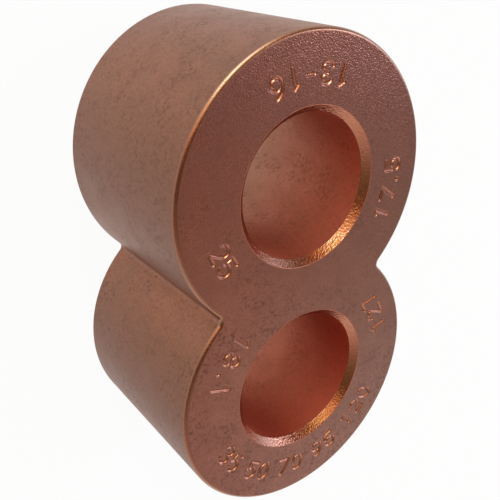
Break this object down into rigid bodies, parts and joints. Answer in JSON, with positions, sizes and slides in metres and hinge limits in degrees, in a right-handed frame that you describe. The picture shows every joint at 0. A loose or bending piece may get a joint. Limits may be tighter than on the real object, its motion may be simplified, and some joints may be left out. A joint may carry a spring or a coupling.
{
  "type": "grounding grid connector",
  "caption": "Solid copper figure-eight compression connector that joins a ground rod to a grounding-grid cable through parallel chamfered bores.",
  "frame": {"origin": "midway between the two bore axes, on the rear end face that the connector stands on", "axes": "+Z along the bores, from the rear end face to the marked end face; +Y from the cable bore to the rod bore; +X to the right of that"},
  "size_m": [0.0354, 0.0616, 0.0252],
  "materials": {
    "copper": "dull oxidised copper with fine scratches, brighter along the edges and bore chamfers"
  },
  "bodies": {
    "root": {"connector_body": "copper"}
  },
  "joints": []
}
